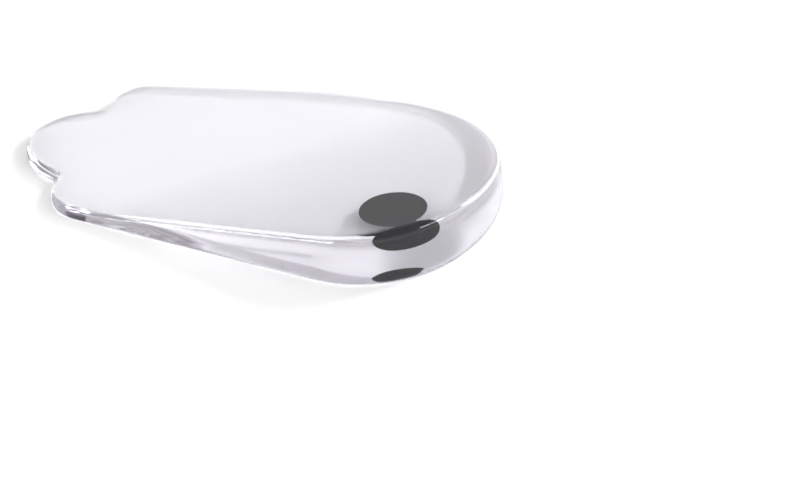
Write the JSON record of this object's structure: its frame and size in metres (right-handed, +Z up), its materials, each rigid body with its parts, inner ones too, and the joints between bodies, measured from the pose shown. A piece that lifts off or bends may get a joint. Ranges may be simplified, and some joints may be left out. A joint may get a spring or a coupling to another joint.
{
  "type": "orthopedic insole",
  "caption": "Clear gel heel wedge, thick under one side of the heel and thinning to a flat lobed plate, with a small black disc cast inside.",
  "frame": {"origin": "on the underside, below the middle of the pad's outline", "axes": "+Y from the heel to the toes, +X from the thick outer side to the thin inner side of the foot, +Z up out of the shoe's floor"},
  "size_m": [0.0694, 0.1116, 0.0125],
  "materials": {
    "clear_gel": "clear soft gel, glossy, very slightly lavender",
    "disc_black": "dark grey to black, finely grained, satin"
  },
  "bodies": {
    "root": {"gel_pad": "clear_gel", "black_disc": "disc_black"}
  },
  "joints": []
}
